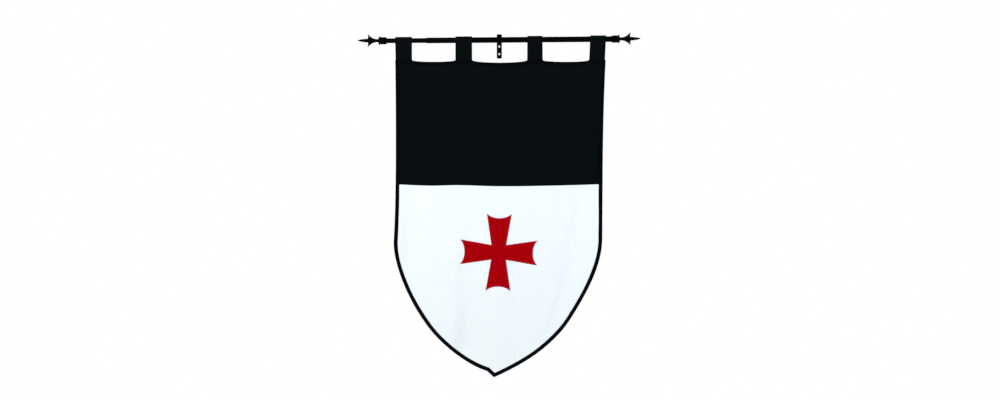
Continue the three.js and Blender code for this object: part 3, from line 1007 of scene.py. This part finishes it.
@dataclass
class SewnCross:
    """The red cross, cut from cloth and sewn down with a close satin stitch round its edge."""

    drape: Drape
    finishes: Finishes
    middle: Point = (-2.3, -719.2)
    turn: float = math.radians(-1)
    waist: float = 25.6
    tip: float = 43.5
    reach: float = 137.3
    hollow: float = 22.0
    hollow_handle: float = 26.0
    dense: int = 200
    thickness: float = 0.7
    lift: float = 0.95
    cell: float = 5.5
    cut_spacing: float = 5.0
    under_satin: float = 0.4
    satin_spacing: float = 1.6
    narrowest: float = 0.12
    longest_mitre: float = 1.9
    # section of the satin edge: distance in from the cut edge, and height over the cloth's middle
    satin: tuple[Point, ...] = (
        (-0.5, 0.5),
        (-0.35, 1.15),
        (0.4, 1.6),
        (1.4, 1.8),
        (2.4, 1.75),
        (3.2, 1.5),
        (3.6, 1.25),
        (3.5, 0.6),
        (1.5, 0.5),
        (-0.5, 0.5),
    )

    def outline(self, spacing: float) -> np.ndarray:
        """Draws the cross anticlockwise, with points at an even spacing between its corners.

        Args:
            spacing: the distance between points, roughly.

        Returns:
            The points.
        """
        low = self.reach - self.hollow
        right_foot, left_foot = ((side * self.waist, self.waist) for side in (1, -1))
        right_tip, left_tip = ((side * self.tip, self.reach) for side in (1, -1))
        arm = (
            (right_foot, right_foot, right_tip, right_tip),
            (right_tip, (self.hollow_handle, low), (-self.hollow_handle, low), left_tip),
            (left_tip, left_tip, left_foot, left_foot),
        )
        found = []
        for quarter in range(4):
            angle = self.turn + quarter * math.pi / 2
            spin = np.array([[math.cos(angle), math.sin(angle)], [-math.sin(angle), math.cos(angle)]])
            for knots in arm:
                curve = bezier(knots, self.dense)
                total = lengths_along(curve)[-1]
                places = np.linspace(0, total, max(2, round(total / spacing)) + 1)[:-1]
                found.append(points_at(curve, places) @ spin)
        return np.concatenate(found) + np.array(self.middle)

    def build(self) -> list[bpy.types.Object]:
        """Builds the cross and its satin edge.

        Returns:
            The two pieces.
        """
        edge = self.outline(self.cut_spacing)
        cut = edge + mitres(edge) * self.under_satin
        bm = cut_cloth(cut, self.cell)
        self.drape.hang(bm, -self.lift)
        red = self.finishes.red_cloth
        cross = finish_piece(bm, "cross_cloth", red, ("cross_applique",))
        thicken(cross, self.thickness)
        return [cross, self.satin_edge()]

    def satin_edge(self) -> bpy.types.Object:
        """Sweeps the raised satin stitch round the cross, narrower into its sharp corners.

        Returns:
            The piece.
        """
        edge = self.outline(self.satin_spacing)
        inward = mitres(edge)
        section = np.array(self.satin)
        lengths = lengths_along(closed(edge))
        reach = np.linalg.norm(inward, axis=1)
        sharp = (reach > 2) & (reach >= np.roll(reach, 1)) & (reach >= np.roll(reach, -1))
        narrow = np.ones(len(edge))
        for tip in np.flatnonzero(sharp):
            away = np.abs(lengths[:-1] - lengths[tip])
            away = np.minimum(away, lengths[-1] - away)
            narrow = np.minimum(narrow, away / math.sqrt(reach[tip] ** 2 - 1) / section[:, 0].max())
        shorter = np.clip(narrow, self.narrowest, 1) * np.minimum(1.0, self.longest_mitre / reach)
        inward *= shorter[:, None]
        step, rung = grid_points(len(edge), len(section) - 1)
        i = step % len(edge)
        inwards, height = section[rung].T
        mapped = np.stack([lengths[step], inwards], axis=1) * MM
        places = self.drape.lay(edge[i] + inward[i] * inwards[:, None], -height)
        bm = swept_grid(step, rung, places, mapped)
        return finish_piece(bm, "cross_satin_edge", self.finishes.satin, (), 70.0)


# Rod, tabs, finials and bracket


@dataclass(frozen=True)
class RodAxis:
    """The line that the rod lies on, rising a little to the right."""

    from_wall: float = 40.0
    height: float = 35.2
    rise: float = math.radians(0.44)

    def place(self) -> Matrix:
        """Gives the move from a rod along X through the origin to the real one."""
        return Matrix.Translation((0, -self.from_wall, self.height)) @ Matrix.Rotation(-self.rise, 4, "Y")

    def height_at(self, x: float) -> float:
        """Reads the axis's height."""
        return self.height + math.tan(self.rise) * x


def bowed(start: Point, handle: Point, end: Point, steps: int) -> list[Point]:
    """Draws a bow from one point to another.

    Args:
        start: the first point.
        handle: the point that the bow is pulled towards.
        end: the last point.
        steps: how many steps it has.

    Returns:
        Its points.
    """
    shares = [i / steps for i in range(steps + 1)]
    weights = [((1 - t) ** 2, 2 * t * (1 - t), t * t) for t in shares]
    return [
        tuple(w[0] * a + w[1] * b + w[2] * c for a, b, c in zip(start, handle, end)) for w in weights
    ]


def rounded(corners: Sequence[Point], radius: float, steps: int = 3) -> list[Point]:
    """Rounds every inner corner of a line, as far as its sides are long enough.

    Args:
        corners: the line.
        radius: how far from a corner its rounding starts.
        steps: how many steps a rounding has.

    Returns:
        The rounded line.
    """
    found = [corners[0]]
    for before, corner, after in zip(corners, corners[1:], corners[2:]):
        ends = []
        for other in (before, after):
            reach = min(0.5, radius / math.dist(corner, other))
            ends.append(tuple(a + (b - a) * reach for a, b in zip(corner, other)))
        found.extend(bowed(ends[0], corner, ends[1], steps))
    return [*found, corners[-1]]


def turned(profile: Sequence[Point], steps: int) -> bmesh.types.BMesh:
    """Turns a profile about the X axis.

    Args:
        profile: places along the axis and radii, open at the axis or closed to a ring.
        steps: how many steps a full turn has.

    Returns:
        The turned body.
    """
    bm = bmesh.new()
    verts = [bm.verts.new((along, 0, radius)) for along, radius in profile]
    edges = [bm.edges.new(pair) for pair in zip(verts, verts[1:])]
    if profile[0][1] > 0 and profile[-1][1] > 0:
        edges.append(bm.edges.new((verts[-1], verts[0])))
    bmesh.ops.spin(
        bm,
        geom=verts + edges,
        cent=(0, 0, 0),
        axis=(1, 0, 0),
        angle=2 * math.pi,
        steps=steps,
        use_merge=True,
    )
    bmesh.ops.remove_doubles(bm, verts=bm.verts[:], dist=1e-4)
    bmesh.ops.recalc_face_normals(bm, faces=bm.faces[:])
    return bm


@dataclass
class ExtendingRod:
    """Two steel tubes, the thin one sliding in the thick one."""

    axis: RodAxis
    finishes: Finishes
    steps: int = 64
    edge: float = 0.45
    # left end, right end, radius and wall of each tube
    thick: tuple[float, float, float, float] = (-259.0, 412.7, 10.0, 1.2)
    thin: tuple[float, float, float, float] = (-413.8, -110.0, 8.5, 1.0)

    def build(self) -> list[bpy.types.Object]:
        """Turns both tubes, with their edges broken.

        Returns:
            The two pieces.
        """
        pieces = []
        table = (
            ("rod_tube_thick", self.thick, "rod_outer_tube"),
            ("rod_tube_thin", self.thin, "rod_inner_tube"),
        )
        edge = self.edge
        for name, (left, right, radius, wall), node in table:
            profile = [
                (left, radius - wall),
                (left, radius - edge),
                (left + edge * 0.3, radius - edge * 0.3),
                (left + edge, radius),
                (right - edge, radius),
                (right, radius - edge),
                (right, radius - wall),
            ]
            bm = turned(profile, self.steps)
            bm.transform(self.axis.place())
            pieces.append(finish_piece(bm, name, self.finishes.paint, (node,), 25.0))
        return pieces


@dataclass
class SpearFinial:
    """A cast end: a collar over the tube, a sharp flange, a neck, a cup of four petals and a spear.

    A point is a place along the finial and a radius.
    """

    end: End
    mouth: float
    turn: float
    tube_radius: float
    tilt: float
    axis: RodAxis
    finishes: Finishes
    steps: int = 96
    length: float = 102.0
    socket_depth: float = 14.0
    play: float = 0.25
    collar: Point = (20.0, 12.8)
    ring_at: float = 5.2
    ring_width: float = 0.9
    ring_depth: float = 0.5
    groove: Point = (20.75, 12.0)
    flange: Point = (25.9, 15.3)
    flange_rim: Point = (27.5, 15.1)
    flange_end: Point = (29.0, 6.6)
    neck: Point = (34.0, 5.5)
    cup_bulge: Point = (52.0, 5.5)
    cup_floor: Point = (54.0, 6.0)
    cup_inside: Point = (62.0, 9.0)
    tip: Point = (67.0, 23.8)
    lip: Point = (0.5, 1.5)
    spear: Point = (67.0, 6.7)
    spear_bulge: Point = (86.0, 5.8)
    spear_end: Point = (101.2, 1.7)
    petals: int = 4
    notch: float = 0.2
    notch_shape: float = 0.8
    wall_steps: int = 16
    spear_steps: int = 8
    edge_radius: float = 0.7

    def cup_side(self, outside: bool) -> list[Point]:
        """Draws one side of the cup's wall, from its foot to a petal's tip.

        Args:
            outside: True for the outer side.

        Returns:
            Its points.
        """
        if outside:
            return bowed(self.neck, self.cup_bulge, self.tip, self.wall_steps)
        inner_tip = (self.tip[0] + self.lip[0], self.tip[1] - self.lip[1])
        return bowed(self.cup_floor, self.cup_inside, inner_tip, self.wall_steps)

    def profile(self) -> list[Point]:
        """Lists the whole profile from the bottom of the socket to the spear's point.

        Returns:
            Its points.
        """
        socket = self.tube_radius + self.play
        length, radius = self.collar
        ring, width = self.ring_at, self.ring_width
        shank = [
            (self.socket_depth, 0.0),
            (self.socket_depth, socket),
            (0.0, socket),
            (0.0, radius),
            (ring - width, radius),
            (ring, radius - self.ring_depth),
            (ring + width, radius),
            (length, radius),
            self.groove,
            (self.groove[0] + width, radius),
            self.flange,
            self.flange_rim,
            self.flange_end,
        ]
        cup = [*self.cup_side(True), *reversed(self.cup_side(False))]
        spear = bowed(self.spear, self.spear_bulge, self.spear_end, self.spear_steps)
        return [*rounded([*shank, self.neck], self.edge_radius)[:-1], *cup, *spear, (self.length, 0.0)]

    def build(self) -> list[bpy.types.Object]:
        """Turns the finial, draws its cup in between the petals and sets it on the rod's end.

        Returns:
            The piece.
        """
        bm = turned(self.profile(), self.steps)
        for outside in (True, False):
            side = self.cup_side(outside)
            ends = np.array(side)
            rows = {(round(a, 3), round(r, 3)): i for i, (a, r) in enumerate(side)}
            for vertex in bm.verts:
                along, y, z = vertex.co
                row = rows.get((round(along, 3), round(math.hypot(y, z), 3)))
                if row is None:
                    continue
                angle = math.atan2(y, z)
                share = angle / (2 * math.pi) * self.petals
                from_petal = abs(share - round(share)) * 2
                reach = row * (1 - self.notch * from_petal**self.notch_shape)
                at, out = (float(np.interp(reach, range(len(side)), axis)) for axis in ends.T)
                vertex.co = (at, out * math.sin(angle), out * math.cos(angle))
        spin = Matrix.Rotation(-self.end.value * self.tilt, 4, "Y") @ Matrix.Rotation(self.turn, 4, "X")
        if self.end is End.LEFT:
            spin = spin @ Matrix.Rotation(math.pi, 4, "Z")
        bm.transform(self.axis.place() @ Matrix.Translation((self.mouth, 0, 0)) @ spin)
        side_name = self.end.name.lower()
        name, node = f"finial_spear_{side_name}", f"finial_{side_name}"
        return [finish_piece(bm, name, self.finishes.paint, (node,), 32.0)]


@dataclass
class HookBracket:
    """The bent steel strip on the wall, with two screw slots and a hook that the rod lies in."""

    finishes: Finishes
    bevel: float = 0.45
    flat: float = math.radians(0.5)
    sharp: float = math.radians(30)

    def build(self) -> list[bpy.types.Object]:
        """Copies the solid, joins its flat faces and breaks its edges as a coated strip's are.

        Returns:
            The piece.
        """
        bm = bmesh.new()
        bm.from_mesh(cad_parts["bracket"].data)
        bmesh.ops.remove_doubles(bm, verts=bm.verts[:], dist=1e-6)
        bm.transform(Matrix.Scale(1 / MM, 4))
        bmesh.ops.dissolve_limit(bm, angle_limit=self.flat, verts=bm.verts[:], edges=bm.edges[:])
        edges = [e for e in bm.edges if e.is_manifold and e.calc_face_angle(0) > self.sharp]
        bmesh.ops.bevel(
            bm,
            geom=edges,
            offset=self.bevel,
            offset_type="OFFSET",
            segments=2,
            profile=0.5,
            affect="EDGES",
            material=-1,
            clamp_overlap=True,
        )
        paint = self.finishes.paint
        return [finish_piece(bm, "hook_bracket", paint, ("bracket",), 35.0)]


@dataclass
class HangingTab:
    """One strap of doubled cloth, folded over the rod and sewn behind the top edge of the flag."""

    number: int
    left: float
    right: float
    foot_left: float
    foot_right: float
    tube_radius: float
    stands: float
    fillet: float
    axis: RodAxis
    finishes: Finishes
    thickness: float = 3.0
    set_back: float = 0.5
    edge_height: float = -37.5
    join_above: float = 5.0
    foot_below: float = 14.0
    over_rod: float = 0.35
    apart: float = 0.08
    bend: Pair = (5.0, 2.0)
    handle: float = 0.42
    flare_rise: float = 2.4
    crown: float = 0.5
    crown_fade: Pair = (60.0, 6.0)
    hem: float = 3.2
    thread_out: Pair = (0.05, 0.13)
    foot_rows: Pair = (2.5, 12.0)
    folded_edge: float = 0.7
    foot_steps: int = 20
    # points of the leg, of the rise to the rod and of the bend over it, then shares of the width
    steps: tuple[int, int, int] = (12, 26, 17)
    ways: tuple[float, ...] = (0, 0.02, 0.06, 0.2, 0.35, 0.5, 0.65, 0.8, 0.94, 0.98, 1)

    @property
    def middle(self) -> float:
        """The strap's middle across."""
        return (self.left + self.right) / 2

    def path(self) -> np.ndarray:
        """Draws the strap's middle line about the rod's axis.

        Returns:
            Depths and heights, front foot first.
        """
        radius = self.tube_radius + self.over_rod + self.thickness / 2
        centre = self.axis.height_at(self.middle)
        join = -(centre - self.edge_height - self.join_above)
        foot = -(centre - self.edge_height + self.foot_below)
        lay = self.thickness / 2 + self.apart
        lean = math.asin((radius - lay) / -join)
        touch = (-radius * math.cos(lean), -radius * math.sin(lean))
        below, above = self.bend
        straight, rising, over = self.steps
        leg = [(-lay, z) for z in np.linspace(foot, join - below, straight)]
        share = self.handle
        handle = (touch[0] * share - lay * (1 - share), join * (1 - share) + touch[1] * share - above)
        rise = bezier(((-lay, join - below), (-lay, join + above), handle, touch), rising)[1:]
        arc = [
            (-radius * math.cos(a), radius * math.sin(a) + self.stands * max(0.0, math.sin(a)) ** 2)
            for a in np.linspace(-lean, math.pi / 2, over)[1:]
        ]
        front = np.array([*leg, *rise, *arc])
        return np.concatenate([front, front[-2::-1] * np.array([-1, 1])])

    def spot(
        self, way: np.ndarray | float, height: np.ndarray | float, depth: np.ndarray | float
    ) -> np.ndarray:
        """Places points of the strap in the part's frame.

        Args:
            way: shares of the strap's width, from 0 at its left edge to 1 at its right.
            height: heights over the rod's axis.
            depth: depths behind the rod's axis.

        Returns:
            The places.
        """
        centre = self.axis.height_at(self.middle)
        foot = centre - self.edge_height + self.foot_below
        top = self.tube_radius
        down = np.clip((top - height) / (top + foot), 0, 1)
        rise = self.flare_rise * self.fillet
        flare = self.fillet * (1 - np.clip((centre + height - self.edge_height) / rise, 0, 1)) ** 2
        left = self.left + (self.foot_left - self.left) * down - flare
        right = self.right + (self.foot_right - self.right) * down + flare
        x = left + (right - left) * way
        on_rod = np.clip((height + foot) / (foot - top), 0, 1)
        z = centre + height + on_rod * math.tan(self.axis.rise) * (x - self.middle)
        y = depth + self.set_back * down**2 - self.axis.from_wall
        return np.stack(np.broadcast_arrays(x, y, z), axis=1)

    def build(self) -> list[bpy.types.Object]:
        """Builds the strap and its stitching.

        Returns:
            The two pieces.
        """
        path = self.path()
        lengths = lengths_along(path)
        step, rung = grid_points(len(path) - 1, len(self.ways) - 1)
        way = np.array(self.ways)[rung]
        depth, height = path[step].T
        places = self.spot(way, height, depth)
        up, out = self.crown_fade
        crown = self.crown * np.sin(math.pi * way) * np.clip((height + up) / up, 0, 1)
        places[:, 1] += np.sign(depth) * crown * np.clip(np.abs(depth) / out, 0, 1)
        mapped = np.stack([way * (self.right - self.left), lengths[step]], axis=1) * MM
        bm = swept_grid(step, rung, places, mapped)
        name, node = f"tab_strap_{self.number}", f"tab_{self.number}"
        strap = finish_piece(bm, name, self.finishes.black_strap, (node,), 60.0)
        thicken(strap, self.thickness)
        soften = strap.modifiers.new("folded_edges", "BEVEL")
        soften.width = self.folded_edge * MM
        soften.segments = 2
        soften.limit_method = "ANGLE"
        soften.angle_limit = math.radians(50)
        return [strap, self.stitches(path)]

    def stitches(self, path: np.ndarray) -> bpy.types.Object:
        """Sews both long edges of the strap, and a box at its foot on the wall side.

        Args:
            path: the strap's middle line.

        Returns:
            The piece.
        """
        bm = bmesh.new()
        over_strap, over_foot = self.thread_out
        slopes = np.gradient(path, axis=0)
        normals = np.stack([-slopes[:, 1], slopes[:, 0]], axis=1)
        normals /= np.linalg.norm(normals, axis=1, keepdims=True)
        outer = path + normals * (self.thickness / 2 + over_strap)
        half = len(path) // 2
        hem = self.hem / (self.right - self.left)
        for way in (hem, 1 - hem):
            for depth, height in (outer[: half + 1].T, outer[half:].T):
                facing = Side.ROOM if depth[0] < 0 else Side.WALL
                stitches_along(bm, self.spot(way, height, depth), facing.value)
        centre = self.axis.height_at(self.middle)
        for above in self.foot_rows:
            height = self.edge_height - (self.foot_below - above) - centre
            ways = np.linspace(hem, 1 - hem, self.foot_steps)
            line = self.spot(ways, height, self.thickness + over_foot)
            stitches_along(bm, line, Side.WALL.value)
        return finish_stitches(bm, f"tab_stitches_{self.number}", self.finishes)


# Studio


@dataclass
class PaleStudio:
    """A pale room: a white floor and backdrop light, soft lamps and a long lens straight in front."""

    distance: float = 12.0
    field_width: float = 3.55
    aim: tuple[float, float, float] = (0.0025, -0.044, -0.5332)
    floor_height: float = -1.6
    floor_half: float = 4.2
    ambient: float = 0.385
    glossy: float = 0.03
    # place, what it is turned to, width, watts and colour of each soft lamp
    lamps: tuple[tuple[tuple, tuple, float, float, str], ...] = (
        ((-2.4, -2.3, 1.6), (0.0, 0.0, -0.55), 1.2, 130.0, "fffcf6"),
        ((2.2, -1.3, 0.1), (0.0, 0.0, -0.6), 0.8, 25.0, "f6f9ff"),
        ((1.2, 3.4, 0.6), (0.0, 0.0, -0.6), 2.4, 90.0, "fffcf6"),
    )

    def build(self) -> None:
        """Builds the world, the floor, the lamps and the camera."""
        scene = bpy.context.scene
        scene.view_settings.view_transform = "Standard"
        self.world(scene)
        self.floor(scene)
        for i, (place, target, width, watts, colour) in enumerate(self.lamps):
            light = bpy.data.lights.new(f"soft_lamp_{i + 1}", "AREA")
            light.size = width
            light.energy = watts
            light.color = linear(colour)[:3]
            lamp = bpy.data.objects.new(light.name, light)
            lamp.location = place
            way = Vector(target) - Vector(place)
            lamp.rotation_euler = way.to_track_quat("-Z", "Y").to_euler()
            scene.collection.objects.link(lamp)
        self.camera(scene)

    def world(self, scene: bpy.types.Scene) -> None:
        """Makes the white surroundings: bright behind the object, and softer as a light.

        Args:
            scene: the scene that takes them.
        """
        world = bpy.data.worlds.new("white_room")
        world.use_nodes = True
        world.node_tree.nodes.clear()
        path = add_node(world, "LightPath")
        softer = add_node(world, "Background", (linear("e9f4ff"), self.ambient))
        dim = add_node(world, "Background", (linear("f4f8ff"), self.glossy))
        white = add_node(world, "Background", ((1, 1, 1, 1), 1.0))
        lit = add_node(world, "MixShader", (path.outputs["Is Glossy Ray"], softer, dim))
        seen = add_node(world, "MixShader", (path.outputs["Is Camera Ray"], lit, white))
        add_node(world, "OutputWorld", (seen,))
        scene.world = world

    def floor(self, scene: bpy.types.Scene) -> None:
        """Lays the plain pale floor below the flag.

        Args:
            scene: the scene that takes it.
        """
        bm = bmesh.new()
        bmesh.ops.create_grid(bm, x_segments=1, y_segments=1, size=self.floor_half)
        bmesh.ops.translate(bm, verts=bm.verts[:], vec=(0, 0, self.floor_height))
        mesh = bpy.data.meshes.new("studio_floor")
        bm.to_mesh(mesh)
        bm.free()
        material = blank_material("pale_floor")
        surface = {"Base Color": linear("dededc"), "Roughness": 0.9, "Specular IOR Level": 0.1}
        add_node(material, "OutputMaterial", {"Surface": add_node(material, "BsdfPrincipled", surface)})
        mesh.materials.append(material)
        floor = bpy.data.objects.new("studio_floor", mesh)
        scene.collection.objects.link(floor)

    def camera(self, scene: bpy.types.Scene) -> None:
        """Sets the long lens straight in front, framed as the photograph is.

        Args:
            scene: the scene that takes it.
        """
        lens = bpy.data.cameras.new("long_lens")
        lens.sensor_width = 36.0
        lens.lens = lens.sensor_width * self.distance / self.field_width
        camera = bpy.data.objects.new("long_lens", lens)
        x, y, z = self.aim
        camera.location = (x, y - self.distance, z)
        camera.rotation_euler = (math.pi / 2, 0, 0)
        scene.collection.objects.link(camera)
        scene.camera = camera


def main() -> None:
    """Builds the studio and then every sub-assembly of the flag."""
    logging.basicConfig(level=logging.INFO, format="%(name)s: %(message)s")
    PaleStudio().build()
    finishes = Finishes()
    axis = RodAxis()
    outline = Outline().stations()
    drape = Drape(outline)
    # left, right, left and right at the foot, tube's radius, height over the tube's top, and fillet
    tab_rows = (
        (-369.6, -310.5, -367.8, -309.8, 8.5, 1.4, 1.6),
        (-155.5, -96.9, -156.0, -96.3, 10.0, 0.2, 1.6),
        (99.6, 153.0, 99.0, 154.6, 10.0, 0.2, 1.6),
        (323.1, 378.8, 318.5, 374.5, 10.0, 0.2, 2.4),
    )
    parts = [
        ExtendingRod(axis, finishes),
        SpearFinial(End.LEFT, -400.1, 0.0, 8.5, math.radians(1.0), axis, finishes),
        SpearFinial(End.RIGHT, 399.0, math.radians(12), 10.0, math.radians(0.6), axis, finishes),
        HookBracket(finishes),
        Cloths(outline, drape, finishes),
        EdgeTape(outline, drape, finishes),
        SewnCross(drape, finishes),
        *(HangingTab(i + 1, *row, axis, finishes) for i, row in enumerate(tab_rows)),
    ]
    for part in parts:
        made = part.build()
        log.info("%s made %s", type(part).__name__, ", ".join(piece.name for piece in made))


if __name__ == "__main__":
    main()
